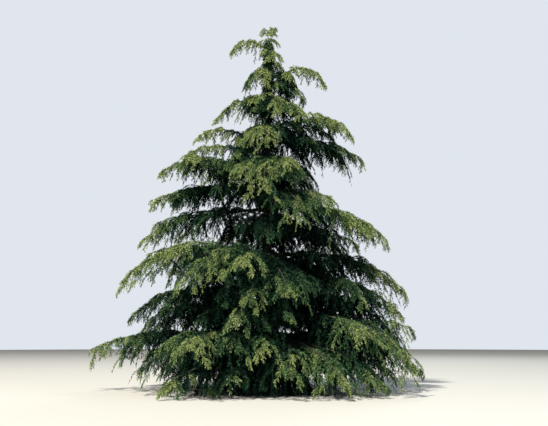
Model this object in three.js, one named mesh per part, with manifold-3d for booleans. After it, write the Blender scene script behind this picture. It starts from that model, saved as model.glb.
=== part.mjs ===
// A weeping cedar of middle age, grown in the open and clothed to the ground.
// Millimetres, +Z up. The origin is the centre of the flat cut under the trunk, at ground level.
// The tree's front faces -Y. Azimuths run anticlockwise seen from above: 0 is +X, the tree's right
// seen from the front, 90 is the back, 180 the left and 270 the front.
//
// The tree is one trunk that runs up to a nodding leader, long limbs that bow down at their tips,
// and a drooping mass of foliage round each limb. Three of the long limbs are bare inside the crown
// and are boughs of their own. The others carry foliage almost from the trunk.

import * as THREE from "three";
import { mergeVertices } from "three/addons/utils/BufferGeometryUtils.js";
import Module from "manifold-3d";

const wasm = await Module();
wasm.setup();

const METRE = 1000;
const CLEAR = 0.3; // gap between a limb and what carries it
const ON_AXIS = 1e-6; // of a unit circle: a point this near the middle is the middle
const SAME_POINT = 1e-3; // points this near each other are one
const UP = new THREE.Vector3(0, 0, 1);
const BACK = new THREE.Vector3(0, 1, 0);
const UPRIGHT = 0.9; // a direction that rises by more than this stands upright

// Trunk
const TRUNK_TOP = 11.4 * METRE; // where the leader's own foliage takes over
const TRUNK_RADIUS = 235; // just above the root flare
const TRUNK_TIP_RADIUS = 14;
const TRUNK_TAPER = 0.92; // power of the taper: under 1 keeps the upper trunk stout
const TRUNK_LEAN = 90; // how far the top stands to the right of the foot
const TRUNK_SWAY = 40; // how far the trunk bows out at half height
const FLARE_REACH = 120; // the root flare at ground level
const FLARE_HEIGHT = 250; // where it has shrunk to about a third
const FLARE_POWER = 1.3; // how steeply it shrinks
const FLARE_LOBES = 5;
const FLARE_RIPPLE = 0.35; // how far the lobes stand out, as a share of the flare
const TRUNK_SIDES = 12;
const TRUNK_RINGS = 14;
const RING_CROWDING = 1.7; // power that draws the rings down into the flare

// Limbs
const LIMB_BASE_RADIUS = 9; // of a limb with no reach
const LIMB_RADIUS_PER_REACH = 0.0125;
const LIMB_TIP_SHARE = 0.16; // the tip's radius over the foot's
const LIMB_TAPER = 0.8; // power of the taper
const MOST_OF_TRUNK = 0.8; // of the trunk's radius, that a limb's foot may have
const SAG_POWER = 4; // how late along its length a limb bows down
const BOUGH_SIDES = 6;
const BOUGH_RINGS = 3;
const STEM_SIDES = 4;
const STEM_RINGS = 4;
const TIP_CROWDING = 1.4; // power that draws a limb's rings towards its tip
const PATH_STEP = 0.01; // over which a path's direction is taken
const FOLIAGE_START = 0.2; // share of the reach that is bare on a limb with no bough
const STEM_END = 0.86; // share of the reach where the wood ends and its last spray goes on

// Twigs and sprays of needles
const FULL_REACH = 4.6 * METRE; // a limb of full size
const LEAST_SIZE = 0.4; // of the twigs and sprays on the shortest limb
const TWIG_SPACING = 775; // along the stem, on a limb of full size
const TWIG_ANGLES = [66, 40]; // degrees between twig and stem, at the first twig and the last
const TWIG_SCATTER = 8; // degrees either way
const TWIG_LENGTHS = [0.85, 1.1]; // least and most, over the length that the outline gives
const TWIG_SAG = 0.28; // of the twig's length
const MOST_PITCH = 0.4; // slope at which a twig may leave a steep stem
const TWIG_SIDES = 3;
const TWIG_RADIUS_SHARE = 0.55; // of the stem's radius where it leaves
const LEAST_TWIG_RADIUS = 7;
const TWIG_TIP_SHARE = 0.1; // the tip's radius over the foot's
const LEADER_TIP_RADIUS = 5;
const TIP_SHARE = 1.1; // a limb's last spray over what is left of its reach
const LEAST_TIP = 0.6; // of the usual spray's length
const LEAST_TWIG = 200; // a shorter one is only its spray
const TWIG_OVERLAP = 0.75; // of a spray's length, that its twig falls short of the foliage's edge
const SPRAY_LENGTH = 980; // on a limb of full size
const SPRAY_LENGTHS = [0.85, 1.15]; // least and most, over the usual length
const SPRAY_FAN = 11; // degrees either way, off its twig's line
const STEEPEST_SPRAY = -0.6; // slope
const SPRAY_THICKNESS = 0.06; // of its length
const SPRAY_SINK = 70; // into its twig
const MOST_LEAN = 35; // degrees that a spray's fingers may hang off plumb
const SPRAY_GAP = 4; // least gap between a spray or twig and another limb or mass
const GROUND_GAP = 20; // least height of a spray above the ground
const TWIG_GROUND_GAP = 60; // and of a twig
const REACH_MARGIN = 120; // how far a spray may pass its limb's reach
const SMOOTHING = 0.1; // slivers thinner than this are taken off a joined mass
// The spray's outline, round from its tip: along the twig from its root, and above it, in shares of
// its length. The fingers between the tip and the root hang down and the last point is its back.
const SPRAY_OUTLINE = [
  [1, -0.3],
  [0.8, -0.58],
  [0.6, -0.24],
  [0.48, -0.56],
  [0.38, -0.2],
  [0.16, -0.42],
  [0, 0],
  [0.55, 0.05],
];
const SPRAY_MIDDLE = [0.48, -0.08];

// The outline of a mass seen from above: it opens out quickly from its foot and narrows to its tip
const OUTLINE_FOOT = 0.5; // share of the spread at the foot
const OUTLINE_OPENING = 2;
const OUTLINE_NARROWING = 0.6;
const OUTLINE_POWER = 1.6;

const BARK = { color: 0x4a3f36, roughness: 0.95, metalness: 0 };
const NEEDLES = { color: 0x5c6b3c, roughness: 0.8, metalness: 0 };

// Every limb: its height on the trunk, azimuth, reach from the trunk's axis, lift and sag at the
// tip, and the half width of its foliage, in metres and degrees. bare is the share of the reach
// that is a bough of its own. The tiers run from the ground up.
const LIMBS = {
  tier1_left: { height: 1.6, azimuth: 180, reach: 5.5, lift: 0.4, sag: 0.75, spread: 1.3, bare: 0.36 },
  tier1_left_front: { height: 1.35, azimuth: 213, reach: 4.3, lift: 0.35, sag: 1.1, spread: 1.0 },
  tier1_front_left: { height: 1.0, azimuth: 238, reach: 4.9, lift: -0.1, sag: 0.6, spread: 1.1 },
  tier1_front: { height: 0.85, azimuth: 270, reach: 3.3, lift: -0.05, sag: 0.45, spread: 1.1 },
  tier1_front_right: { height: 1.15, azimuth: 311, reach: 4.8, lift: 0.05, sag: 0.9, spread: 1.1 },
  tier1_right: { height: 1.4, azimuth: 352, reach: 4.8, lift: 0.5, sag: 1.4, spread: 1.2 },
  tier1_back_right: { height: 1.6, azimuth: 36, reach: 4.9, lift: 0.3, sag: 1.35, spread: 1.3 },
  tier1_back: { height: 1.6, azimuth: 86, reach: 4.8, lift: 0.3, sag: 1.25, spread: 1.3 },
  tier1_back_left: { height: 1.3, azimuth: 136, reach: 4.9, lift: 0.3, sag: 1.1, spread: 1.3 },
  tier2_front_left: { height: 1.7, azimuth: 247, reach: 5.1, lift: 0.2, sag: 0.5, spread: 1.25 },
  tier2_front_right: { height: 1.76, azimuth: 295, reach: 5.0, lift: -0.55, sag: 0.85, spread: 1.2 },
  tier2_front: { height: 2.56, azimuth: 258, reach: 4.0, lift: 0, sag: 0.5, spread: 0.8 },
  tier2_right: { height: 2.33, azimuth: 324, reach: 5.2, lift: -0.1, sag: 1.55, spread: 1.3 },
  tier2_back_right: { height: 2.9, azimuth: 20, reach: 4.8, lift: 0.15, sag: 1.75, spread: 1.3 },
  tier2_back: { height: 2.8, azimuth: 66, reach: 4.6, lift: 0.15, sag: 1.7, spread: 1.35 },
  tier2_back_left: { height: 2.6, azimuth: 112, reach: 4.6, lift: 0.1, sag: 1.6, spread: 1.35 },
  tier2_left_back: { height: 2.7, azimuth: 156, reach: 4.7, lift: 0.1, sag: 1.6, spread: 1.25 },
  tier3_left: { height: 2.9, azimuth: 195, reach: 4.25, lift: 0.5, sag: 1.2, spread: 1.05 },
  tier3_front: { height: 3.4, azimuth: 263, reach: 3.75, lift: -0.1, sag: 0.75, spread: 0.85 },
  tier3_right_front: { height: 3.6, azimuth: 346, reach: 4.2, lift: -0.15, sag: 1.2, spread: 1.15 },
  tier3_right: { height: 4.23, azimuth: 8, reach: 4.7, lift: 0.1, sag: 1.55, spread: 1.0, bare: 0.4 },
  tier3_back_right: { height: 4.1, azimuth: 52, reach: 4.3, lift: -0.1, sag: 1.6, spread: 1.35 },
  tier3_back_left: { height: 4.2, azimuth: 118, reach: 4.3, lift: -0.1, sag: 1.6, spread: 1.35 },
  tier4_left_front: { height: 4.2, azimuth: 205, reach: 4.7, lift: 0.5, sag: 1.5, spread: 1.25 },
  tier4_front: { height: 4.15, azimuth: 238, reach: 4.2, lift: 0, sag: 1.05, spread: 1.3 },
  tier4_front_low: { height: 4.1, azimuth: 280, reach: 3.55, lift: -0.75, sag: 0.55, spread: 1.05 },
  tier4_front_high: { height: 5.35, azimuth: 273, reach: 2.5, lift: -0.1, sag: 0.8, spread: 0.85 },
  tier4_front_right: { height: 6.15, azimuth: 290, reach: 3.2, lift: -0.1, sag: 1.3, spread: 1.0 },
  tier4_left: { height: 5.72, azimuth: 163, reach: 4.4, lift: -0.1, sag: 0.75, spread: 0.95, bare: 0.38 },
  tier4_right: { height: 5.87, azimuth: 338, reach: 3.9, lift: -0.5, sag: 0.85, spread: 1.25 },
  tier4_back_right: { height: 5.2, azimuth: 40, reach: 3.9, lift: 0, sag: 1.3, spread: 1.15 },
  tier4_back: { height: 5.3, azimuth: 95, reach: 3.8, lift: 0.05, sag: 1.25, spread: 1.2 },
  tier5_left_low: { height: 6.4, azimuth: 175, reach: 3.85, lift: 0.1, sag: 0.45, spread: 0.68 },
  tier5_left: { height: 6.95, azimuth: 191, reach: 3.5, lift: 0.65, sag: 0.85, spread: 0.7 },
  tier5_front: { height: 7.28, azimuth: 268, reach: 2.9, lift: -0.3, sag: 1.3, spread: 1.05 },
  tier5_right: { height: 7.2, azimuth: 48, reach: 2.5, lift: 0, sag: 1, spread: 0.8 },
  tier5_back: { height: 6.9, azimuth: 80, reach: 3.0, lift: 0.1, sag: 1.0, spread: 1.0 },
  tier5_back_left: { height: 7.45, azimuth: 130, reach: 2.9, lift: 0.1, sag: 1, spread: 1.0 },
  tier6_right_low: { height: 7.95, azimuth: 4, reach: 3.2, lift: 0, sag: 0.7, spread: 0.75 },
  tier6_right: { height: 8.2, azimuth: 349, reach: 2.8, lift: 1.1, sag: 1.4, spread: 0.65 },
  tier6_left_low: { height: 7.45, azimuth: 194, reach: 2.75, lift: 0.6, sag: 0.8, spread: 0.48 },
  tier6_left: { height: 7.88, azimuth: 176, reach: 2.3, lift: 1, sag: 0.7, spread: 0.45 },
  tier6_front: { height: 8.3, azimuth: 268, reach: 2.0, lift: 0, sag: 1.0, spread: 0.9 },
  tier6_back: { height: 8.3, azimuth: 90, reach: 2.3, lift: 0.2, sag: 0.9, spread: 0.9 },
  tier7_left: { height: 9.38, azimuth: 180, reach: 1.68, lift: 0.05, sag: 0.75, spread: 0.45 },
  tier7_right: { height: 9.75, azimuth: 338, reach: 1.3, lift: 0.35, sag: 1.2, spread: 0.42 },
  tier7_front: { height: 9.25, azimuth: 285, reach: 1.5, lift: 0.1, sag: 0.8, spread: 0.6 },
  tier7_front_right: { height: 8.85, azimuth: 304, reach: 1.9, lift: 0.35, sag: 0.9, spread: 0.6 },
  tier7_back: { height: 9.4, azimuth: 95, reach: 1.6, lift: 0.2, sag: 0.8, spread: 0.65 },
  tier8_right: { height: 10.05, azimuth: 356, reach: 1.95, lift: 0.95, sag: 1.3, spread: 0.35 },
  tier8_front: { height: 10.95, azimuth: 282, reach: 0.75, lift: 0.05, sag: 0.6, spread: 0.35 },
  tier8_front_low: { height: 10.3, azimuth: 262, reach: 1.0, lift: 0.1, sag: 0.75, spread: 0.4 },
  tier8_back: { height: 10.75, azimuth: 60, reach: 0.85, lift: 0.1, sag: 0.6, spread: 0.35 },
  tier8_left_low: { height: 10.32, azimuth: 208, reach: 0.8, lift: 0.05, sag: 0.75, spread: 0.33 },
  tier8_left: { height: 11.15, azimuth: 185, reach: 1.2, lift: 0.65, sag: 0.85, spread: 0.22 },
};

// The leader's own foliage, which nods over to the right at its tip
const LEADER = { rise: 0.58, nod: 0.1, reach: 0.12, spread: 0.4, twigs: 8, spiral: 137.5 };

const radians = THREE.MathUtils.degToRad;
const mix = THREE.MathUtils.lerp;

// An even scatter from 0 to 1, the same each time for the same two numbers
function chance(a, b) {
  const wave = Math.sin(a * 127.1 + b * 311.7) * 43758.5453;
  return wave - Math.floor(wave);
}

// The same, from -1 to 1
function eitherWay(a, b) {
  return 2 * chance(a, b) - 1;
}

// What is drawn for each twig and spray has its own place in the scatter
const DRAW = { swing: 40, length: 80, fan: 1, lean: 5, sprayLength: 13, tipLean: 31 };

function solidOf(geometry) {
  geometry.deleteAttribute("normal");
  geometry.deleteAttribute("uv");
  const merged = mergeVertices(geometry, SAME_POINT);
  const vertProperties = new Float32Array(merged.getAttribute("position").array);
  const triVerts = new Uint32Array(merged.index.array);
  return new wasm.Manifold(new wasm.Mesh({ numProp: 3, vertProperties, triVerts }));
}

function geometryOf(solid) {
  const { vertProperties, triVerts } = solid.getMesh();
  const geometry = new THREE.BufferGeometry();
  geometry.setAttribute("position", new THREE.BufferAttribute(new Float32Array(vertProperties), 3));
  geometry.setIndex(new THREE.BufferAttribute(new Uint32Array(triVerts), 1));
  geometry.computeVertexNormals();
  return geometry;
}

// A round tapering limb: a cylinder or cone bent along a path. at(s) gives the path's point and
// radius(s) the radius there, for s from 0 at the foot to 1 at the tip, where the rings crowd.
function limbSolid({ at, radius, sides, rings, pointed = false }) {
  const tube = new THREE.CylinderGeometry(pointed ? 0 : 1, 1, 1, sides, rings);
  const place = tube.getAttribute("position");
  for (let i = 0; i < place.count; i++) {
    const s = 1 - (0.5 - place.getY(i)) ** TIP_CROWDING;
    const across = Math.hypot(place.getX(i), place.getZ(i));
    const angle = Math.atan2(place.getZ(i), place.getX(i));
    const along = at(s + PATH_STEP).sub(at(s - PATH_STEP)).normalize();
    const side = sidewaysOf(along);
    const over = new THREE.Vector3().crossVectors(side, along);
    const r = across > ON_AXIS ? radius(s) : 0;
    const p = at(s).addScaledVector(side, r * Math.cos(angle)).addScaledVector(over, r * Math.sin(angle));
    place.setXYZ(i, p.x, p.y, p.z);
  }
  return solidOf(tube);
}

// A level direction square to a path, or one square to it all the same where the path stands upright
function sidewaysOf(along) {
  const across = Math.abs(along.z) > UPRIGHT ? BACK : UP;
  return new THREE.Vector3().crossVectors(across, along).normalize();
}

function heading(azimuth) {
  return new THREE.Vector3(Math.cos(azimuth), Math.sin(azimuth), 0);
}

function slopeOf(ahead) {
  return ahead.z / Math.hypot(ahead.x, ahead.y);
}

function trunkAxis(z) {
  const share = z / TRUNK_TOP;
  return new THREE.Vector3(TRUNK_LEAN * share + TRUNK_SWAY * Math.sin(Math.PI * share), 0, z);
}

function trunkRadius(z, angle) {
  const shaft = mix(TRUNK_TIP_RADIUS, TRUNK_RADIUS, (1 - z / TRUNK_TOP) ** TRUNK_TAPER);
  const lobes = 1 + FLARE_RIPPLE * Math.cos(FLARE_LOBES * angle);
  return shaft + FLARE_REACH * lobes * Math.exp(-((z / FLARE_HEIGHT) ** FLARE_POWER));
}

// The trunk or, grown, the room it needs
function trunkSolid(grown = 0) {
  const tube = new THREE.CylinderGeometry(1, 1, 1, TRUNK_SIDES, TRUNK_RINGS);
  const place = tube.getAttribute("position");
  for (let i = 0; i < place.count; i++) {
    const z = TRUNK_TOP * (place.getY(i) + 0.5) ** RING_CROWDING;
    const across = Math.hypot(place.getX(i), place.getZ(i));
    const angle = Math.atan2(place.getX(i), place.getZ(i));
    const r = across > ON_AXIS ? trunkRadius(z, angle) + grown : 0;
    const p = trunkAxis(z).addScaledVector(heading(angle), r);
    place.setXYZ(i, p.x, p.y, p.z);
  }
  return solidOf(tube);
}

// A limb with its path and its radius, for s from 0 on the trunk's axis to 1 at the tip
function limbOf(name, sizes) {
  const foot = trunkAxis(sizes.height * METRE);
  const out = heading(radians(sizes.azimuth)).multiplyScalar(sizes.reach * METRE);
  const fullRadius = LIMB_BASE_RADIUS + LIMB_RADIUS_PER_REACH * sizes.reach * METRE;
  const footRadius = Math.min(fullRadius, MOST_OF_TRUNK * trunkRadius(foot.z, 0));
  return {
    ...sizes,
    name,
    foliageFrom: sizes.bare ?? FOLIAGE_START,
    size: mix(LEAST_SIZE, 1, Math.min(1, (sizes.reach * METRE) / FULL_REACH)),
    radius: (s) => footRadius * mix(1, LIMB_TIP_SHARE, s ** LIMB_TAPER),
    point: (s) => {
      const rise = (sizes.lift * s - sizes.sag * s ** SAG_POWER) * METRE;
      return foot.clone().addScaledVector(out, s).addScaledVector(UP, rise);
    },
  };
}

// The leader goes on from the trunk's tip and bows over to the right
function leaderLimb() {
  const foot = trunkAxis(TRUNK_TOP);
  return {
    ...LEADER,
    name: "leader",
    reach: LEADER.rise,
    foliageFrom: 0,
    size: LEAST_SIZE,
    radius: (s) => mix(TRUNK_TIP_RADIUS, LEADER_TIP_RADIUS, s),
    point: (s) => {
      const rise = CLEAR + METRE * (LEADER.rise * s - LEADER.nod * s ** SAG_POWER);
      return new THREE.Vector3(foot.x + LEADER.reach * METRE * s ** 3, foot.y, foot.z + rise);
    },
  };
}

// The stretch of a limb between two shares of its reach
function stretch(limb, from, to, sides, rings) {
  return limbSolid({
    at: (s) => limb.point(mix(from, to, s)),
    radius: (s) => limb.radius(mix(from, to, s)),
    sides,
    rings,
  });
}

// A spray of needles: a double pyramid whose rim is drawn out into fingers that hang below the twig,
// leaning out to one side
function spraySolid({ root, azimuth, slope, length, lean, sink }) {
  const blade = new THREE.SphereGeometry(1, SPRAY_OUTLINE.length, 2);
  const place = blade.getAttribute("position");
  const out = heading(azimuth);
  const side = new THREE.Vector3().crossVectors(out, UP);
  for (let i = 0; i < place.count; i++) {
    const turn = Math.atan2(place.getZ(i), place.getX(i)) / (2 * Math.PI);
    const step = Math.round((turn + 1) * SPRAY_OUTLINE.length) % SPRAY_OUTLINE.length;
    const pole = Math.abs(place.getY(i)) > 0.5 ? Math.sign(place.getY(i)) : 0;
    const [far, high] = pole ? SPRAY_MIDDLE : SPRAY_OUTLINE[step];
    const along = length * far - sink;
    const p = root
      .clone()
      .addScaledVector(out, along)
      .addScaledVector(side, length * (high * Math.sin(lean) + (pole * SPRAY_THICKNESS) / 2))
      .addScaledVector(UP, slope * along + length * high * Math.cos(lean));
    p.z = Math.max(p.z, GROUND_GAP);
    place.setXYZ(i, p.x, p.y, p.z);
  }
  return solidOf(blade);
}

// How far a solid's furthest corner lies from the trunk's foot, seen from above
function reachOf(solid) {
  const { vertProperties } = solid.getMesh();
  let reach = 0;
  for (let i = 0; i < vertProperties.length; i += 3) {
    reach = Math.max(reach, Math.hypot(vertProperties[i], vertProperties[i + 1]));
  }
  return reach;
}

// Whether two solids' boxes, grown by the gap, meet
function near(a, b, gap) {
  const p = a.boundingBox();
  const q = b.boundingBox();
  return [0, 1, 2].every((k) => p.min[k] - gap < q.max[k] && q.min[k] - gap < p.max[k]);
}

function clearOf(piece, others) {
  const neighbours = others.filter((other) => near(piece, other, SPRAY_GAP));
  return neighbours.every((other) => piece.minGap(other, SPRAY_GAP) >= SPRAY_GAP);
}

// How far a twig that leaves the stem at share u of the foliage reaches, as a share of the spread
function outline(u) {
  return Math.min(1, OUTLINE_FOOT + OUTLINE_OPENING * u) * (1 - OUTLINE_NARROWING * u ** OUTLINE_POWER);
}

// The twigs of a mass, alternately left and right of its stem or, on the leader, all round it
function twigsOf(limb, seed) {
  const run = (STEM_END - limb.foliageFrom) * limb.reach * METRE;
  const count = limb.twigs ?? Math.max(3, Math.round((2 * run) / (TWIG_SPACING * limb.size)));
  return Array.from({ length: count }, (_, i) => {
    const u = (i + 0.3 + 0.4 * chance(seed, i)) / count;
    const s = mix(limb.foliageFrom, STEM_END, u);
    const foot = limb.point(s);
    const ahead = limb.point(s + PATH_STEP).sub(limb.point(s - PATH_STEP));
    const angle = mix(...TWIG_ANGLES, u) + TWIG_SCATTER * eitherWay(seed, i + DRAW.swing);
    const swing = (i % 2 ? 1 : -1) * radians(angle);
    const azimuth = limb.spiral ? i * radians(limb.spiral) : Math.atan2(ahead.y, ahead.x) + swing;
    const pitch = Math.min(MOST_PITCH, slopeOf(ahead)) * Math.cos(swing);
    const reach = limb.spread * METRE * outline(u) * mix(...TWIG_LENGTHS, chance(seed, i + DRAW.length));
    const woody = reach - SPRAY_LENGTH * limb.size * TWIG_OVERLAP;
    const length = woody < LEAST_TWIG ? 0 : woody;
    return {
      azimuth,
      length,
      radius: Math.max(LEAST_TWIG_RADIUS, TWIG_RADIUS_SHARE * limb.radius(s)),
      tipSlope: pitch - 2 * TWIG_SAG,
      point: (t) => {
        const p = foot.clone().addScaledVector(heading(azimuth), length * t);
        p.z = Math.max(foot.z + length * (pitch * t - TWIG_SAG * t * t), TWIG_GROUND_GAP);
        return p;
      },
    };
  });
}

function twigSolid(twig) {
  const radius = (t) => twig.radius * mix(1, TWIG_TIP_SHARE, t);
  return limbSolid({ at: twig.point, radius, sides: TWIG_SIDES, rings: 1, pointed: true });
}

// The spray that goes on from a twig's tip
function sprayOf(twig, size, seed) {
  return {
    root: twig.point(1),
    azimuth: twig.azimuth + radians(SPRAY_FAN * eitherWay(seed, DRAW.fan)),
    slope: twig.tipSlope,
    length: SPRAY_LENGTH * size * mix(...SPRAY_LENGTHS, chance(seed, DRAW.sprayLength)),
    lean: radians(MOST_LEAN * eitherWay(seed, DRAW.lean)),
    sink: twig.length > 0 ? SPRAY_SINK : 0,
  };
}

// The spray that ends a limb
function tipSpray(limb, seed) {
  const tip = limb.point(STEM_END);
  const ahead = limb.point(1).sub(tip);
  return {
    root: tip,
    azimuth: Math.atan2(ahead.y, ahead.x),
    slope: Math.max(STEEPEST_SPRAY, slopeOf(ahead)),
    length: Math.max(Math.hypot(ahead.x, ahead.y) * TIP_SHARE, SPRAY_LENGTH * limb.size * LEAST_TIP),
    lean: radians(MOST_LEAN * eitherWay(seed, DRAW.tipLean)),
    sink: SPRAY_SINK,
  };
}

// A mass of foliage: its stem with every twig and spray that keeps to the mass's own space, within
// the limb's reach and clear of the other limbs and masses. A scrap that joins nothing is dropped.
function massSolid(limb, stem, others, seed) {
  const pieces = [stem];
  const keep = (piece) => {
    const keeps = reachOf(piece) < limb.reach * METRE + REACH_MARGIN && clearOf(piece, others);
    if (keeps) pieces.push(piece);
    return keeps;
  };
  keep(spraySolid(tipSpray(limb, seed)));
  twigsOf(limb, seed).forEach((twig, i) => {
    if (twig.length > 0 && !keep(twigSolid(twig))) return;
    keep(spraySolid(sprayOf(twig, limb.size, seed * 7 + i)));
  });
  const parts = wasm.Manifold.union(pieces).simplify(SMOOTHING).decompose();
  return parts.reduce((a, b) => (b.volume() > a.volume() ? b : a));
}

function meshOf(name, solid, finish) {
  const mesh = new THREE.Mesh(geometryOf(solid), new THREE.MeshStandardMaterial(finish));
  mesh.name = name;
  return mesh;
}

function cedar() {
  const tree = new THREE.Group();
  const trunk = trunkSolid();
  const trunkRoom = trunkSolid(CLEAR);
  const limbs = Object.entries(LIMBS).map(([name, sizes]) => limbOf(name, sizes));
  const leader = leaderLimb();

  const boughs = limbs
    .filter((limb) => limb.bare)
    .map((limb) => {
      const solid = stretch(limb, 0, limb.bare, BOUGH_SIDES, BOUGH_RINGS).subtract(trunkRoom);
      return { name: limb.name, solid };
    });
  const stems = limbs.map((limb) => {
    const gap = CLEAR / (limb.reach * METRE);
    if (limb.bare) return stretch(limb, limb.bare + gap, STEM_END, STEM_SIDES, STEM_RINGS);
    return stretch(limb, 0, STEM_END, STEM_SIDES, STEM_RINGS).subtract(trunkRoom);
  });
  limbs.push(leader);
  stems.push(stretch(leader, 0, STEM_END, STEM_SIDES, STEM_RINGS));

  const wood = [trunk, ...boughs.map((bough) => bough.solid)];
  const masses = [];
  limbs.forEach((limb, i) => {
    const others = [...wood, ...masses, ...stems.filter((_, k) => k > i)];
    masses.push(massSolid(limb, stems[i], others, i + 1));
  });

  tree.add(meshOf("trunk", trunk, BARK));
  boughs.forEach(({ name, solid }) => tree.add(meshOf(`bough_${name}`, solid, BARK)));
  masses.forEach((solid, i) => tree.add(meshOf(`foliage_${limbs[i].name}`, solid, NEEDLES)));
  return tree;
}

export default cedar();
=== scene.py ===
import math

import bpy
import numpy as np
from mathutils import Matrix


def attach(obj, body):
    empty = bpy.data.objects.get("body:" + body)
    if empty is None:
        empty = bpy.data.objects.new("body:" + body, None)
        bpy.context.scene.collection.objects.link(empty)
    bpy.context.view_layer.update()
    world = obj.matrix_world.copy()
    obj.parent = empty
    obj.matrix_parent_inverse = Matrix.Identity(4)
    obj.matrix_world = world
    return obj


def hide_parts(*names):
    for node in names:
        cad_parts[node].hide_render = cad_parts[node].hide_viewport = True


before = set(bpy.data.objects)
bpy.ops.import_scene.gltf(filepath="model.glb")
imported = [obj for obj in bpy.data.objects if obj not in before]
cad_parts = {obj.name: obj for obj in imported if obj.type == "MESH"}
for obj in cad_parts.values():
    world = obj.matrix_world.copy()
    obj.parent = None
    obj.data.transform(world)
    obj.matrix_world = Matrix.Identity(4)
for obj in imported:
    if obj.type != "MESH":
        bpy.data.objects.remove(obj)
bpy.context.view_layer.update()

# The studio: a pale round floor at ground level where the tree stands, a broad warm lamp high on
# the left and in front, cool weak ones on the right and behind, and an even pale surround. The
# camera stands at eye level, 24 m in front, and looks a little up.
CAMERA_PLACE = (0.29, -24.3, 1.6)
CAMERA_PITCH = 9.33  # degrees above level
CAMERA_LENS = 50  # mm, on a sensor 36 mm wide
CAMERA_SIGHT = 500  # metres, well past the far edge of the floor
FLOOR_RADIUS = 90
FLOOR_SIDES = 128
FLOOR_COLOUR = (0.3, 0.3, 0.29, 1)
FLOOR_ROUGHNESS = 0.9
SURROUND_COLOUR = (0.88, 0.93, 1, 1)
SURROUND_STRENGTH = 0.3
BACKDROP_STRENGTH = 0.85  # of the same surround where the camera sees it
KEY_PLACE = (-27, -38, 70)
KEY_SIZE = 6
KEY_POWER = 215000
KEY_COLOUR = (1, 0.94, 0.82)
FILL_PLACE = (22, -14, 12)
FILL_SIZE = 12
FILL_POWER = 2500
FILL_COLOUR = (0.8, 0.9, 1)
BACK_PLACE = (12, 38, 30)
BACK_SIZE = 14
BACK_POWER = 10000
LAMP_TARGET = (0, 0, 5)


def principled(name, colour, roughness, specular=0.5):
    material = bpy.data.materials.new(name)
    material.use_nodes = True
    shader = material.node_tree.nodes["Principled BSDF"]
    shader.inputs["Base Color"].default_value = colour
    shader.inputs["Roughness"].default_value = roughness
    shader.inputs["Specular IOR Level"].default_value = specular
    return material


def place_lamp(name, place, size, power, colour):
    lamp = bpy.data.lights.new(name, "AREA")
    lamp.shape = "DISK"
    lamp.size = size
    lamp.energy = power
    lamp.color = colour
    lamp_object = bpy.data.objects.new(name, lamp)
    lamp_object.location = place
    towards = np.array(LAMP_TARGET) - np.array(place)
    down = math.atan2(math.hypot(towards[0], towards[1]), -towards[2])
    lamp_object.rotation_euler = (down, 0, math.atan2(-towards[0], towards[1]))
    bpy.context.scene.collection.objects.link(lamp_object)


camera_object = bpy.data.objects.new("camera", bpy.data.cameras.new("camera"))
camera_object.data.lens = CAMERA_LENS
camera_object.data.clip_end = CAMERA_SIGHT
camera_object.location = CAMERA_PLACE
camera_object.rotation_euler = (math.radians(90 + CAMERA_PITCH), 0, 0)
bpy.context.scene.collection.objects.link(camera_object)
bpy.context.scene.camera = camera_object

place_lamp("key_lamp", KEY_PLACE, KEY_SIZE, KEY_POWER, KEY_COLOUR)
place_lamp("fill_lamp", FILL_PLACE, FILL_SIZE, FILL_POWER, FILL_COLOUR)
place_lamp("back_lamp", BACK_PLACE, BACK_SIZE, BACK_POWER, FILL_COLOUR)

world = bpy.data.worlds.new("surround")
world.use_nodes = True
nodes, links = world.node_tree.nodes, world.node_tree.links
surround = nodes["Background"]
backdrop = nodes.new("ShaderNodeBackground")
either = nodes.new("ShaderNodeMixShader")
rays = nodes.new("ShaderNodeLightPath")
for part, strength in ((surround, SURROUND_STRENGTH), (backdrop, BACKDROP_STRENGTH)):
    part.inputs["Color"].default_value = SURROUND_COLOUR
    part.inputs["Strength"].default_value = strength
links.new(rays.outputs["Is Camera Ray"], either.inputs["Fac"])
links.new(surround.outputs["Background"], either.inputs[1])
links.new(backdrop.outputs["Background"], either.inputs[2])
links.new(either.outputs["Shader"], nodes["World Output"].inputs["Surface"])
bpy.context.scene.world = world
bpy.context.scene.view_settings.view_transform = "Standard"

bpy.ops.mesh.primitive_circle_add(vertices=FLOOR_SIDES, radius=FLOOR_RADIUS, fill_type="NGON")
floor = bpy.context.object
floor.name = "floor"
floor.data.materials.append(principled("floor_paint", FLOOR_COLOUR, FLOOR_ROUGHNESS))

# The trunk: one upright stem of cedar wood, cut flat at the ground, with a lobed flare at its foot
# and a slight lean and sway. Its bark is grey brown and cracked into upright plates.
TRUNK_TOP = 11.4
TRUNK_RADIUS = 0.235
TRUNK_TIP_RADIUS = 0.014
TRUNK_TAPER = 0.92
TRUNK_LEAN = 0.09
TRUNK_SWAY = 0.04
FLARE_REACH = 0.12
FLARE_HEIGHT = 0.25
FLARE_POWER = 1.3
FLARE_LOBES = 5
FLARE_RIPPLE = 0.35
TRUNK_SIDES = 60
TRUNK_RINGS = 150
TRUNK_CROWDING = 1.25  # power that draws the rings down to the thick end
PLATES_ROUND = (13, 31)  # bark plates round the trunk, large and small
PLATE_HEIGHTS = (0.3, 0.1)
PLATE_SHARES = (0.75, 0.25)  # of the relief
CRACK_DEPTH = 0.07  # of the trunk's radius
CRACK_STEEPNESS = 4  # of a plate's edges, so that cracks are narrow
SCRAMBLE = (127.1, 311.7, 43758.5453)  # uneven numbers that chance is worked out with
BARK_ROUGHNESS = 0.92
BARK_SPECULAR = 0.15
BARK_COLOURS = ((0.011, 0.010, 0.008, 1), (0.040, 0.034, 0.027, 1), (0.090, 0.080, 0.069, 1))
BARK_STOPS = (0.32, 0.55, 0.75)
BARK_STRETCH = (1, 1, 0.22)
BARK_GRAIN = {"Scale": 26, "Detail": 6, "Roughness": 0.65}
BARK_BUMP = 0.012


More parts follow.
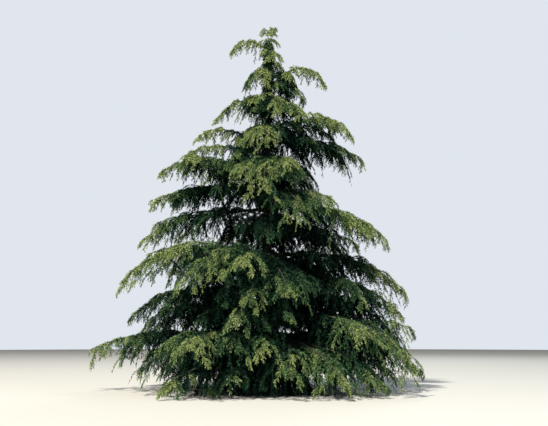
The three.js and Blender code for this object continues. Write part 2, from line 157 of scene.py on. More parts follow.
def mix(a, b, share):
    """From a, where the share is 0, to b, where it is 1."""
    return a + (b - a) * share


def chance(a, b):
    """A number from 0 to 1 that seems random, and is the same each time for the same a and b."""
    wave = np.sin(a * SCRAMBLE[0] + b * SCRAMBLE[1]) * SCRAMBLE[2]
    return wave - np.floor(wave)


def cracked(turn, height, plates, plate_height):
    """The relief of bark plates: 1 on a plate, 0 in a crack, and the same after a full turn."""
    column = turn * plates
    row = height / plate_height
    left, low = np.floor(column), np.floor(row)
    x, y = column - left, row - low
    x, y = x * x * (3 - 2 * x), y * y * (3 - 2 * y)
    corner = [[chance((left + i) % plates + 1, low + j + 1) for j in (0, 1)] for i in (0, 1)]
    blend = mix(mix(corner[0][0], corner[1][0], x), mix(corner[0][1], corner[1][1], x), y)
    return np.minimum(1, CRACK_STEEPNESS * np.abs(blend - 0.5))


def trunk_axis(z):
    """The middle of the trunk at each height."""
    share = z / TRUNK_TOP
    x = TRUNK_LEAN * share + TRUNK_SWAY * np.sin(math.pi * share)
    return np.stack([x, 0 * x, z + 0 * x], axis=-1)


def trunk_radius(z, angle):
    """The radius of the trunk at each height and angle, with its flare."""
    shaft = mix(TRUNK_TIP_RADIUS, TRUNK_RADIUS, (1 - z / TRUNK_TOP) ** TRUNK_TAPER)
    lobes = 1 + FLARE_RIPPLE * np.cos(FLARE_LOBES * angle)
    return shaft + FLARE_REACH * lobes * np.exp(-((z / FLARE_HEIGHT) ** FLARE_POWER))


def bark_material():
    material = principled("bark", BARK_COLOURS[1], BARK_ROUGHNESS, BARK_SPECULAR)
    nodes, links = material.node_tree.nodes, material.node_tree.links
    shader = nodes["Principled BSDF"]
    place = nodes.new("ShaderNodeTexCoord")
    stretch = nodes.new("ShaderNodeMapping")
    stretch.inputs["Scale"].default_value = BARK_STRETCH
    grain = nodes.new("ShaderNodeTexNoise")
    for socket, value in BARK_GRAIN.items():
        grain.inputs[socket].default_value = value
    colours = nodes.new("ShaderNodeValToRGB")
    colours.color_ramp.elements.new(BARK_STOPS[1])
    for stop, position, colour in zip(colours.color_ramp.elements, BARK_STOPS, BARK_COLOURS):
        stop.position = position
        stop.color = colour
    bump = nodes.new("ShaderNodeBump")
    bump.inputs["Distance"].default_value = BARK_BUMP
    links.new(place.outputs["Object"], stretch.inputs["Vector"])
    links.new(stretch.outputs["Vector"], grain.inputs["Vector"])
    links.new(grain.outputs["Fac"], colours.inputs["Fac"])
    links.new(grain.outputs["Fac"], bump.inputs["Height"])
    links.new(colours.outputs["Color"], shader.inputs["Base Color"])
    links.new(bump.outputs["Normal"], shader.inputs["Normal"])
    return material


def piece_of(name, points, triangles, materials, dealt=None, smooth=False):
    """A piece of the tree from arrays of points and triangles. dealt holds the number of each
    triangle's material."""
    mesh = bpy.data.meshes.new(name)
    mesh.vertices.add(len(points))
    mesh.vertices.foreach_set("co", np.ascontiguousarray(points, np.float32).ravel())
    mesh.loops.add(3 * len(triangles))
    mesh.loops.foreach_set("vertex_index", np.ascontiguousarray(triangles, np.int32).ravel())
    mesh.polygons.add(len(triangles))
    mesh.polygons.foreach_set("loop_start", np.arange(0, 3 * len(triangles), 3, dtype=np.int32))
    if dealt is not None:
        mesh.polygons.foreach_set("material_index", np.ascontiguousarray(dealt, np.int32))
    mesh.polygons.foreach_set("use_smooth", np.full(len(triangles), smooth))
    mesh.update(calc_edges=True)
    for material in materials:
        mesh.materials.append(material)
    piece = bpy.data.objects.new(name, mesh)
    bpy.context.scene.collection.objects.link(piece)
    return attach(piece, "root")


def ring_triangles(rings, sides):
    """The triangles of a tube whose points run ring by ring."""
    ring, side = np.meshgrid(np.arange(rings - 1), np.arange(sides), indexing="ij")
    a, b = ring * sides + side, ring * sides + (side + 1) % sides
    lower = np.stack([a, b, b + sides], axis=-1)
    upper = np.stack([a, b + sides, a + sides], axis=-1)
    return np.concatenate([lower.reshape(-1, 3), upper.reshape(-1, 3)])


def make_trunk():
    z = TRUNK_TOP * np.linspace(0, 1, TRUNK_RINGS)[:, None] ** TRUNK_CROWDING
    turn = np.linspace(0, 1, TRUNK_SIDES, endpoint=False)[None, :]
    angle = 2 * math.pi * turn
    plates = zip(PLATES_ROUND, PLATE_HEIGHTS, PLATE_SHARES)
    relief = sum(share * cracked(turn, z, round_it, high) for round_it, high, share in plates)
    radius = trunk_radius(z, angle) * (1 - CRACK_DEPTH * (1 - relief))
    out = np.stack([np.cos(angle), np.sin(angle), 0 * angle], axis=-1)
    wall = (trunk_axis(z) + radius[..., None] * out).reshape(-1, 3)
    ends = trunk_axis(np.array([0, TRUNK_TOP]))
    foot, top = len(wall), len(wall) + 1
    side = np.arange(TRUNK_SIDES)
    after = (side + 1) % TRUNK_SIDES
    last = (TRUNK_RINGS - 1) * TRUNK_SIDES
    cut = np.stack([after, side, 0 * side + foot], axis=-1)
    tip = np.stack([last + side, last + after, 0 * side + top], axis=-1)
    triangles = np.concatenate([ring_triangles(TRUNK_RINGS, TRUNK_SIDES), cut, tip])
    return piece_of("trunk_bark", np.concatenate([wall, ends]), triangles, [bark], smooth=True)


bark = bark_material()
trunk_piece = make_trunk()
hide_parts("trunk")

# The limbs: one long tapering branch of cedar wood each, grown out of the trunk with a collar at
# its foot. They run almost straight and bow down near their tips. The outer stretch of each one,
# or nearly all of it, carries foliage.
LIMB_BASE_RADIUS = 0.009
LIMB_RADIUS_PER_REACH = 0.0125
LIMB_TIP_SHARE = 0.16  # radius at the tip, over that at the foot
LIMB_TAPER = 0.8
MOST_OF_TRUNK = 0.8  # at its foot a limb is no thicker than this share of the trunk
LIMB_ROOT = 0.5  # where its wood starts inside the trunk, over the trunk's radius
SAG_POWER = 4
FOLIAGE_START = 0.2  # share of the reach, on a limb with no bare bough
FULL_REACH = 4.6  # reach from which a limb's size is 1
LEAST_SIZE = 0.4  # that size nears as the reach nears 0
COLLAR = 0.55  # how much a limb swells where it leaves the trunk
COLLAR_LENGTH = 0.12
LIMB_SIDES = 8
LIMB_RINGS = 20
LIMB_PLATES = (5, 0.16)  # bark plates round a limb, and the length of one
LIMB_PLATES_APART = 40  # metres between two limbs in the pattern of plates, so that none are alike
LIMB_CRACK_DEPTH = 0.12  # of its radius
# Height on the trunk, azimuth, reach, lift and sag at the tip, half width of the foliage, and the
# share that is a bare bough or None, in metres and degrees
LIMBS = {
    "tier1_left": (1.6, 180, 5.5, 0.4, 0.75, 1.3, 0.36),
    "tier1_left_front": (1.35, 213, 4.3, 0.35, 1.1, 1.0, None),
    "tier1_front_left": (1.0, 238, 4.9, -0.1, 0.6, 1.1, None),
    "tier1_front": (0.85, 270, 3.3, -0.05, 0.45, 1.1, None),
    "tier1_front_right": (1.15, 311, 4.8, 0.05, 0.9, 1.1, None),
    "tier1_right": (1.4, 352, 4.8, 0.5, 1.4, 1.2, None),
    "tier1_back_right": (1.6, 36, 4.9, 0.3, 1.35, 1.3, None),
    "tier1_back": (1.6, 86, 4.8, 0.3, 1.25, 1.3, None),
    "tier1_back_left": (1.3, 136, 4.9, 0.3, 1.1, 1.3, None),
    "tier2_front_left": (1.7, 247, 5.1, 0.2, 0.5, 1.25, None),
    "tier2_front_right": (1.76, 295, 5.0, -0.55, 0.85, 1.2, None),
    "tier2_front": (2.56, 258, 4.0, 0, 0.5, 0.8, None),
    "tier2_right": (2.33, 324, 5.2, -0.1, 1.55, 1.3, None),
    "tier2_back_right": (2.9, 20, 4.8, 0.15, 1.75, 1.3, None),
    "tier2_back": (2.8, 66, 4.6, 0.15, 1.7, 1.35, None),
    "tier2_back_left": (2.6, 112, 4.6, 0.1, 1.6, 1.35, None),
    "tier2_left_back": (2.7, 156, 4.7, 0.1, 1.6, 1.25, None),
    "tier3_left": (2.9, 195, 4.25, 0.5, 1.2, 1.05, None),
    "tier3_front": (3.4, 263, 3.75, -0.1, 0.75, 0.85, None),
    "tier3_right_front": (3.6, 346, 4.2, -0.15, 1.2, 1.15, None),
    "tier3_right": (4.23, 8, 4.7, 0.1, 1.55, 1.0, 0.4),
    "tier3_back_right": (4.1, 52, 4.3, -0.1, 1.6, 1.35, None),
    "tier3_back_left": (4.2, 118, 4.3, -0.1, 1.6, 1.35, None),
    "tier4_left_front": (4.2, 205, 4.7, 0.5, 1.5, 1.25, None),
    "tier4_front": (4.15, 238, 4.2, 0, 1.05, 1.3, None),
    "tier4_front_low": (4.1, 280, 3.55, -0.75, 0.55, 1.05, None),
    "tier4_front_high": (5.35, 273, 2.5, -0.1, 0.8, 0.85, None),
    "tier4_front_right": (6.15, 290, 3.2, -0.1, 1.3, 1.0, None),
    "tier4_left": (5.72, 163, 4.4, -0.1, 0.75, 0.95, 0.38),
    "tier4_right": (5.87, 338, 3.9, -0.5, 0.85, 1.25, None),
    "tier4_back_right": (5.2, 40, 3.9, 0, 1.3, 1.15, None),
    "tier4_back": (5.3, 95, 3.8, 0.05, 1.25, 1.2, None),
    "tier5_left_low": (6.4, 175, 3.85, 0.1, 0.45, 0.68, None),
    "tier5_left": (6.95, 191, 3.5, 0.65, 0.85, 0.7, None),
    "tier5_front": (7.28, 268, 2.9, -0.3, 1.3, 1.05, None),
    "tier5_right": (7.2, 48, 2.5, 0, 1, 0.8, None),
    "tier5_back": (6.9, 80, 3.0, 0.1, 1.0, 1.0, None),
    "tier5_back_left": (7.45, 130, 2.9, 0.1, 1, 1.0, None),
    "tier6_right_low": (7.95, 4, 3.2, 0, 0.7, 0.75, None),
    "tier6_right": (8.2, 349, 2.8, 1.1, 1.4, 0.65, None),
    "tier6_left_low": (7.45, 194, 2.75, 0.6, 0.8, 0.48, None),
    "tier6_left": (7.88, 176, 2.3, 1, 0.7, 0.45, None),
    "tier6_front": (8.3, 268, 2.0, 0, 1.0, 0.9, None),
    "tier6_back": (8.3, 90, 2.3, 0.2, 0.9, 0.9, None),
    "tier7_left": (9.38, 180, 1.68, 0.05, 0.75, 0.45, None),
    "tier7_right": (9.75, 338, 1.3, 0.35, 1.2, 0.42, None),
    "tier7_front": (9.25, 285, 1.5, 0.1, 0.8, 0.6, None),
    "tier7_front_right": (8.85, 304, 1.9, 0.35, 0.9, 0.6, None),
    "tier7_back": (9.4, 95, 1.6, 0.2, 0.8, 0.65, None),
    "tier8_right": (10.05, 356, 1.95, 0.95, 1.3, 0.35, None),
    "tier8_front": (10.95, 282, 0.75, 0.05, 0.6, 0.35, None),
    "tier8_front_low": (10.3, 262, 1.0, 0.1, 0.75, 0.4, None),
    "tier8_back": (10.75, 60, 0.85, 0.1, 0.6, 0.35, None),
    "tier8_left_low": (10.32, 208, 0.8, 0.05, 0.75, 0.33, None),
    "tier8_left": (11.15, 185, 1.2, 0.65, 0.85, 0.22, None),
}
LEADER_RISE = 0.58
LEADER_NOD = 0.1
LEADER_REACH = 0.12
LEADER_BOW = 3  # power with which it bows out
LEADER_SPREAD = 0.4
LEADER_TIP_RADIUS = 0.005


class Limb:
    """One limb by its sizes: a path and a radius for shares s of its reach, from 0 to 1 at the tip."""

    def __init__(self, name, height, azimuth, reach, lift, sag, spread, bare):
        self.name, self.reach, self.spread = name, reach, spread
        self.lift, self.sag = lift, sag
        self.start = bare or FOLIAGE_START
        self.size = mix(LEAST_SIZE, 1, min(1, reach / FULL_REACH))
        self.azimuth = math.radians(azimuth)
        self.foot = trunk_axis(height)
        trunk = trunk_radius(height, 0)
        self.leaves_trunk = trunk / reach
        self.foot_radius = min(LIMB_BASE_RADIUS + LIMB_RADIUS_PER_REACH * reach, MOST_OF_TRUNK * trunk)

    def radius(self, s):
        return self.foot_radius * mix(1, LIMB_TIP_SHARE, s**LIMB_TAPER)

    def out(self, s):
        return self.reach * s

    def rise(self, s):
        return self.lift * s - self.sag * s**SAG_POWER


class Leader(Limb):
    """The leader goes on from the trunk's tip, upright, and bows over to the right."""

    def __init__(self):
        sizes = (TRUNK_TOP, 0, LEADER_REACH, LEADER_RISE, LEADER_NOD, LEADER_SPREAD, None)
        super().__init__("leader", *sizes)
        self.start = 0
        self.size = LEAST_SIZE
        self.leaves_trunk = 0

    def radius(self, s):
        return mix(TRUNK_TIP_RADIUS, LEADER_TIP_RADIUS, s)

    def out(self, s):
        return self.reach * s**LEADER_BOW


def heading(azimuth):
    """The level direction of each azimuth, which is in radians."""
    azimuth = np.asarray(azimuth, float)
    return np.stack([np.cos(azimuth), np.sin(azimuth), 0 * azimuth], axis=-1)


def point_on(limb, s):
    """The points on a limb at shares s of its reach."""
    s = np.asarray(s, float)
    level = limb.out(s)[..., None] * heading(limb.azimuth)
    return limb.foot + level + np.stack([0 * s, 0 * s, limb.rise(s)], axis=-1)


def tubes(paths, across, radii, sides):
    """Round wood along many paths at once, each drawn out to a point. paths is (tubes, rings, 3),
    across is a level direction square to each path, and radii is (tubes, rings) or (tubes, rings,
    sides)."""
    count, rings = paths.shape[:2]
    along = np.gradient(paths, axis=1)
    along /= np.linalg.norm(along, axis=-1, keepdims=True)
    across = across[:, None, :] + 0 * along
    over = np.cross(along, across)
    turn = 2 * math.pi * np.arange(sides) / sides
    radii = radii if radii.ndim == 3 else np.repeat(radii[..., None], sides, axis=2)
    spokes = np.cos(turn)[:, None] * across[:, :, None] + np.sin(turn)[:, None] * over[:, :, None]
    walls = (paths[:, :, None] + radii[..., None] * spokes)[:, :-1].reshape(count, -1, 3)
    points = np.concatenate([walls, paths[:, -1:]], axis=1)
    last, tip = (rings - 2) * sides, (rings - 1) * sides
    side = np.arange(sides)
    point = np.stack([last + side, last + (side + 1) % sides, 0 * side + tip], axis=-1)
    one = np.concatenate([ring_triangles(rings - 1, sides), point])
    triangles = one[None] + (np.arange(count) * points.shape[1])[:, None, None]
    return points.reshape(-1, 3), triangles.reshape(-1, 3)


def make_limbs(limbs):
    steps = np.linspace(0, 1, LIMB_RINGS)
    turn = np.arange(LIMB_SIDES) / LIMB_SIDES
    paths, radii = [], []
    for i, limb in enumerate(limbs):
        s = mix(LIMB_ROOT * limb.leaves_trunk, 1, steps)
        paths.append(point_on(limb, s))
        clear = limb.reach * (s - limb.leaves_trunk)
        collar = 1 + COLLAR * np.exp(-np.maximum(clear, 0) / COLLAR_LENGTH) * (limb.leaves_trunk > 0)
        along = LIMB_PLATES_APART * i + limb.reach * s[:, None]
        relief = cracked(turn[None, :], along, *LIMB_PLATES)
        radii.append((limb.radius(s) * collar)[:, None] * (1 - LIMB_CRACK_DEPTH * (1 - relief)))
    across = heading(np.array([limb.azimuth for limb in limbs]) + math.pi / 2)
    points, triangles = tubes(np.array(paths), across, np.array(radii), LIMB_SIDES)
    return piece_of("limbs_bark", points, triangles, [bark], smooth=True)


limbs = [Limb(name, *sizes) for name, sizes in LIMBS.items()] + [Leader()]
limbs_piece = make_limbs(limbs)
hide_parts(*[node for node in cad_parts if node.startswith("bough_")])

# The branches: boughs fork from each limb and hang lower, and side branches leave limbs and forks
# left and right in turn, arch over and droop. All are thin brown cedar wood that grew where it is.
FORKS = (  # place on the limb, swing to one side in degrees, reach over what is left, and drop
    (0.1, -52, 0.5, 0.3),
    (0.13, 50, 0.5, 0.4),
    (0.18, 25, 0.8, 0.5),
    (0.32, -23, 0.78, 0.55),
    (0.46, 30, 0.68, 0.5),
)
LEAST_FORKED = 1.3  # reach of the shortest limb that forks
FULLY_FORKED = 2.8  # reach from which it has all the forks
FORKS_ON_SHORT = 2  # on a shorter one, the ones nearest its foot
FORK_SCATTER = (8, 0.12, 0.45)  # degrees of swing, and shares of the reach and the drop, either way
FORK_SPREAD = 0.7  # half width of its foliage, over that of its limb
FORK_START = 0.12
FORK_RADIUS = 0.6  # over the radius of the limb there
FORK_STEEPEST = 0.1
FORK_SIDES = 5
FORK_RINGS = 8
FORK_SEEDS = 100  # from a limb's seed to that of its first fork, and on to the next
BRANCH_SPACING = 0.52  # metres along one side of a limb of size 1
FEWEST_BRANCHES = 6
BRANCHES_END = 0.97
BRANCH_PLACE = 0.3
BRANCH_PLACE_SCATTER = 0.4
BRANCH_ANGLES = (66, 40)  # degrees from the limb, near its foot and near its tip
BRANCH_ANGLE_SCATTER = 8
BRANCH_LENGTHS = (0.6, 1.2)
BRANCH_OUT = (1, 0, -0.06)  # way out along a branch, by the place on it, its square and its cube
BRANCH_ARCH = (0.18, -0.2, -0.58)  # rise along it, likewise
ARCH_SCATTER = 0.24  # of the first number of its rise, either way
DRAWS_APART = 40  # so that angles, lengths and arches get different numbers from chance
MOST_PITCH = 0.4  # slope of the limb that its branches take up, at most
OUTLINE_FOOT = 0.5  # half width of a limb's foliage at its foot, over the widest
OUTLINE_OPENING = 2
OUTLINE_NARROWING = 0.6  # share of it that is lost at the tip
OUTLINE_POWER = 1.6
REACH_MARGIN = 0.12  # how far past its limb's reach a tip may stand
LEADER_MARGIN = 0.3
GROUND_GAP = 0.035
LEAST_SHARE = 0.35  # of a shoot that is cut short at the ground and still kept
GOLDEN_TURN = 137.5  # degrees from one thing to the next where they stand all round a stem
BRANCH_RADIUS = 0.0085
BRANCH_RINGS = 4
WOOD_TIP_SHARE = 0.25
TWIG_SIDES = 3
TWIG_COLOUR = (0.016, 0.015, 0.009, 1)
TWIG_ROUGHNESS = 0.75
TWIG_SPECULAR = 0.15
SLOPE_STEP = 0.01
LEAST_WAY = 1e-3  # metres, so that nothing is divided by 0
LEAST_LENGTH = 1e-9  # likewise
UP = np.array([0.0, 0.0, 1.0])


def outline(u):
    """The half width of a limb's foliage at shares u of its needled stretch, over the widest."""
    return np.minimum(1, OUTLINE_FOOT + OUTLINE_OPENING * u) * (1 - OUTLINE_NARROWING * u**OUTLINE_POWER)


def unit(v):
    """The directions of vectors of any length."""
    return v / np.maximum(np.linalg.norm(v, axis=-1, keepdims=True), LEAST_LENGTH)


def side_of(place):
    """The side that each thing leaves a stem on, by its place in the row: 1 and -1 in turn."""
    return np.where(place % 2, 1, -1)


class Shoots:
    """Many shoots at once, each a cubic path in t from 0 at its root to 1 at its tip. across is level
    and square to the path, limb is the number of the limb that carries it, and low is 0 on the limb
    itself and 1 on its forks."""

    fields = ("root", "terms", "across", "limb", "low")

    def __init__(self, root, terms, across, limb, low):
        self.root, self.terms, self.across, self.limb, self.low = root, terms, across, limb, low

    def point(self, of, t):
        powers = np.stack([t, t * t, t**3], axis=-1)[..., None]
        return self.root[of] + np.sum(self.terms[of] * powers, axis=-2)

    def direction(self, of, t):
        powers = np.stack([1 + 0 * t, 2 * t, 3 * t * t], axis=-1)[..., None]
        return unit(np.sum(self.terms[of] * powers, axis=-2))

    def every(self):
        return np.arange(len(self.root))

    def at(self, t):
        return self.point(self.every(), np.full(len(self.root), t))

    def length(self):
        steps = [self.at(t) for t in (0, 0.25, 0.5, 0.75, 1)]
        return sum(np.linalg.norm(b - a, axis=-1) for a, b in zip(steps, steps[1:]))

    def those(self, chosen):
        return Shoots(*[getattr(self, name)[chosen] for name in self.fields])


def upright(root, azimuth, out, rise, limb, low):
    """Shoots that each lie in the upright plane of an azimuth, by their way out and their rise."""
    terms = out[..., None] * heading(azimuth)[..., None, :] + rise[..., None] * UP
    return Shoots(root, terms, heading(azimuth + math.pi / 2), limb, low)


def joined(groups):
    return Shoots(*[np.concatenate([getattr(group, name) for group in groups]) for name in Shoots.fields])


def slope_of(limb, s):
    """The slope of a limb at shares s of its reach, as its rise over its way out."""
    before, after = s - SLOPE_STEP, s + SLOPE_STEP
    way = np.maximum(limb.out(after) - limb.out(before), LEAST_WAY)
    return (limb.rise(after) - limb.rise(before)) / way


class Fork(Limb):
    """A bough that forks from a limb, swings to one side of it and hangs lower."""

    def __init__(self, limb, place, swing, share, drop):
        self.name, self.size = limb.name, limb.size
        draws = [2 * chance(limb.foot[2] + swing, i) - 1 for i in range(len(FORK_SCATTER))]
        turned, longer, lower = [most * draw for most, draw in zip(FORK_SCATTER, draws)]
        self.reach = limb.reach * (1 - place) * share * (1 + longer)
        self.spread = limb.spread * FORK_SPREAD
        self.azimuth = limb.azimuth + math.radians(swing + turned)
        self.foot = point_on(limb, place)
        self.start = FORK_START
        self.leaves_trunk = 0
        self.foot_radius = FORK_RADIUS * limb.radius(place)
        self.lift = min(FORK_STEEPEST, slope_of(limb, np.array(place))) * self.reach
        self.sag = drop * limb.size**2 * (1 + lower)


def forks_of(limb):
    if limb.name == "leader" or limb.reach < LEAST_FORKED:
        return []
    count = FORKS_ON_SHORT if limb.reach < FULLY_FORKED else len(FORKS)
    return [Fork(limb, *sizes) for sizes in FORKS[:count]]


def run_of(limb):
    """The length of a limb that carries foliage."""
    return (BRANCHES_END - limb.start) * (limb.lift if limb.name == "leader" else limb.reach)


def side_branches(limb, seed, of_limb, low):
    """The side branches of a limb or fork, with the reach and the place on the limb of each."""
    count = max(FEWEST_BRANCHES, round(2 * run_of(limb) / (BRANCH_SPACING * limb.size)))
    i = np.arange(count)
    u = (i + BRANCH_PLACE + BRANCH_PLACE_SCATTER * chance(seed, i)) / count
    s = mix(limb.start, BRANCHES_END, u)
    scatter = BRANCH_ANGLE_SCATTER * (2 * chance(seed, i + DRAWS_APART) - 1)
    swing = side_of(i) * np.radians(mix(*BRANCH_ANGLES, u) + scatter)
    azimuth = i * math.radians(GOLDEN_TURN) if limb.name == "leader" else limb.azimuth + swing
    pitch = np.minimum(MOST_PITCH, slope_of(limb, s)) * np.cos(swing)
    reach = limb.spread * outline(u) * mix(*BRANCH_LENGTHS, chance(seed, i + 2 * DRAWS_APART))
    out = reach[:, None] * np.array(BRANCH_OUT)
    arch = np.array(BRANCH_ARCH) * (1, limb.size, limb.size)
    climb = pitch + ARCH_SCATTER * (2 * chance(seed, i + 3 * DRAWS_APART) - 1)
    rise = reach[:, None] * (arch + climb[:, None] * (1, 0, 0))
    group = upright(point_on(limb, s), azimuth, out, rise, np.full(count, of_limb), np.full(count, low))
    return group, reach, s


def kept_in_reach(shoots):
    """Shoots cut short where they would touch the ground, and left out where they would leave the
    limb's reach, with the choice of those that are kept."""
    tip = shoots.at(1)
    drop = shoots.root[:, 2] - tip[:, 2]
    room = shoots.root[:, 2] - GROUND_GAP
    share = np.where(drop > room, np.maximum(room, 0) / np.maximum(drop, LEAST_WAY), 1)
    reach = np.array([limb.reach for limb in limbs])[shoots.limb]
    leader = shoots.limb == len(limbs) - 1
    farthest = np.where(leader, LEADER_SPREAD + LEADER_MARGIN, reach + REACH_MARGIN)
    shoots.terms *= share[:, None, None]
    keep = (share > LEAST_SHARE) & (np.hypot(tip[:, 0], tip[:, 1]) <= farthest)
    return shoots.those(keep), keep


def wood_of(shoots, foot_radius, rings):
    """The wood of each shoot, with so many rings from its root to its tip."""
    t = np.linspace(0, 1, rings)[None, :] + np.zeros((len(shoots.root), 1))
    of = shoots.every()[:, None] + np.zeros((1, rings), int)
    radii = foot_radius[:, None] * mix(1, WOOD_TIP_SHARE, t)
    return tubes(shoots.point(of, t), shoots.across, radii, TWIG_SIDES)


def make_forks(forks):
    steps = np.linspace(0, 1, FORK_RINGS)
    paths = np.array([point_on(fork, steps) for fork in forks])
    radii = np.array([fork.radius(steps) for fork in forks])
    across = heading(np.array([fork.azimuth for fork in forks]) + math.pi / 2)
    return piece_of("forks_bark", *tubes(paths, across, radii, FORK_SIDES), [bark], smooth=True)


carriers = []  # every limb and fork, with its seed, the number of its limb, and 1 for a fork
for i, limb in enumerate(limbs):
    for k, bough in enumerate([limb, *forks_of(limb)]):
        carriers.append((bough, i + 1 + FORK_SEEDS * k, i, min(k, 1)))
branched = [side_branches(*carrier) for carrier in carriers]
branches, kept = kept_in_reach(joined([group for group, _, _ in branched]))
branch_reach = np.concatenate([reach for _, reach, _ in branched])[kept]
branch_place = np.concatenate([place for _, _, place in branched])[kept]
limb_sizes = np.array([limb.size for limb in limbs])
twig_brown = principled("twig_brown", TWIG_COLOUR, TWIG_ROUGHNESS, TWIG_SPECULAR)
branch_wood = wood_of(branches, BRANCH_RADIUS * limb_sizes[branches.limb], BRANCH_RINGS)
branch_pieces = [
    make_forks([bough for bough, _, _, low in carriers if low]),
    piece_of("side_branches", *branch_wood, [twig_brown], smooth=True),
]
foliage_nodes = [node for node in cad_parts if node.startswith("foliage_")]
for piece in branch_pieces:
    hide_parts(*foliage_nodes)

# The twigs: slender brown cedar wood that hangs in plumes from the side branches, the limbs and the
# trunk that it grew from. In the light each plume has short side shoots left and right in turn, and
# inside the crown, in the shade, it has none.
PLUME_SPACING = (0.155, 0.22)  # on a limb's own side branches, and on a fork's
LIMB_PLUME_SPACING = (0.13, 0.2)  # on a limb itself, and on a fork
SPACING_BY_SIZE = (0.6, 1)  # over the usual, on limbs whose size is 0 and 1
FEWEST_PLUMES = 3  # on a side branch
FEWEST_ON_LIMB = 6
PLUMES_END = 0.995
PLUME_PLACE = 0.4
PLUME_PLACE_SCATTER = 0.5
LIMB_SEEDS = 1000
PLUME_LENGTHS = (0.15, 0.6)  # on limbs whose size is 0 and 1
PLUME_SHORTENING = (1.05, 0.72)  # at a side branch's foot and at its tip
PLUME_SCATTER = (0.7, 1.2)
LONG_PLUMES = 1.3  # how much longer the longest plumes hang
LONG_POWER = 7  # the higher it is, the fewer are long
TRUNK_PLUMES_FROM = (1.3, 7.8)  # long and few among the boughs, and close on the thin top
TRUNK_PLUME_SPACING = (0.02, 0.013)
TRUNK_PLUME_SIZE = (3.7, 1.9)  # over the first of the plume lengths
TIP_PLUMES = 0.42  # at a limb's tip, over the usual
TIP_STRETCH = 0.45  # share of the reach over which they shorten to that
PLUME_ANGLES = (62, 20)  # degrees from a side branch, near its foot and near its tip
PLUME_ANGLE_SCATTER = 16
LIMB_PLUME_ANGLES = (20, 85)
PLUME_OUT = (0.95, -0.25)  # way out along a plume, by the place on it and its square
PLUME_FALL = (0.16, -0.66)  # rise along it, likewise
FALL_SCATTER = (0.75, 1.2)
PLUME_SLOPES = (-0.6, 0.3)
PLUME_RADIUS = 0.0034
RADIUS_BY_SIZE = (0.7, 1)
PLUME_RINGS = 3
SHADED_RINGS = 2
SHOOTS_ON_PLUME = 6
SHOOT_PLACE = 0.3
SHOOT_PLACE_SCATTER = 0.5
SHOOTS_CLEAR = 0.4  # of a place, left free at the plume's tip
SHOOT_LENGTHS = (0.16, 0.08)  # at the plume's root and at its tip
SHOOT_SCATTER = (0.7, 1.2)
SHOOT_BY_SIZE = (0.6, 1)
SHOOT_ANGLE = 45
SHOOT_TWIST = 0.8  # radians round the plume, either way
SHOOT_DROOP = 0.22
SHOOT_FALL = 0.25
SHOOT_RADIUS = 0.002
CELL = 0.25  # of the grid in which the foliage is counted for its shade
CROWN_LOW = np.array([-6.5, -6.5, -0.5])
CROWN_CELLS = (52, 52, 52)
SHADE = 1.2  # how fast light fades, by the metres of plume in the cells that it passes
LIGHT_SLOPES = (0.12, 0.75)  # of the rings of directions it comes from, besides straight down
LIGHT_RING = 8
LIGHT_STEPS = 14
TOP_SHARE, LOW_SHARE, HIGH_SHARE = 4, 0.3, 1  # of the daylight, from each direction
LIT_AT = 0.7  # place on a plume at which its light is worked out
WAYS_SEEN = 4  # so many directions have to be clear for a plume to count as open
LEAST_SEEN = 0.42  # openness over which a plume has side shoots and fine needles
DEEP_SEEN = 0.12  # openness under which it has only a few coarse ones
NUDGE = 1e-6  # gives a shoot that hangs straight down a direction across it


def cell_of(points):
    """The cell of the grid that each point lies in."""
    place = ((points - CROWN_LOW) / CELL).astype(int)
    return tuple(np.clip(place[..., k], 0, CROWN_CELLS[k] - 1) for k in range(3))


def shares_of_light(points, sources, lengths):
    """What comes through the foliage to each point from each direction: one column for straight
    down, then one for each direction of the low ring and of the high ring."""
    grid = np.zeros(CROWN_CELLS)
    np.add.at(grid, cell_of(sources), lengths)
    ring = heading(2 * math.pi * np.arange(LIGHT_RING) / LIGHT_RING)
    towards = np.concatenate([UP[None], *[unit(ring + slope * UP) for slope in LIGHT_SLOPES]])
    steps = 0.5 * CELL + CELL * np.arange(1, LIGHT_STEPS + 1)
    passed = [sum(grid[cell_of(points + step * way)] for step in steps) for way in towards]
    return np.exp(-SHADE * np.stack(passed, axis=1))


def daylight(shares):
    """The light that reaches each point, from 0 deep in the crown to 1 in the open."""
    weights = [TOP_SHARE] + [LOW_SHARE] * LIGHT_RING + [HIGH_SHARE] * LIGHT_RING
    return np.average(shares, axis=1, weights=weights)


def hanging(root, azimuth, slope, length, limb, low):
    """Plumes that start out along their azimuth and slope and then hang."""
    out = np.stack([PLUME_OUT[0] * length, PLUME_OUT[1] * length, 0 * length], axis=-1)
    start = np.clip(slope, *PLUME_SLOPES) * PLUME_OUT[0] + PLUME_FALL[0]
    fall = PLUME_FALL[1] * mix(*FALL_SCATTER, chance(root[:, 0], root[:, 1]))
    rise = np.stack([start * length, fall * length, 0 * length], axis=-1)
    return upright(root, azimuth, out, rise, limb, low)


def tip_shrink(place):
    """How much shorter plumes are near a limb's tip, by their place on its reach."""
    return mix(1, TIP_PLUMES, np.clip((place - 1 + TIP_STRETCH) / TIP_STRETCH, 0, 1))


def in_rows(count):
    """For a row of so many things on each shoot: the shoot and the place in its row of each thing."""
    of = np.repeat(np.arange(len(count)), count)
    return of, np.arange(len(of)) - np.repeat(np.cumsum(count) - count, count)


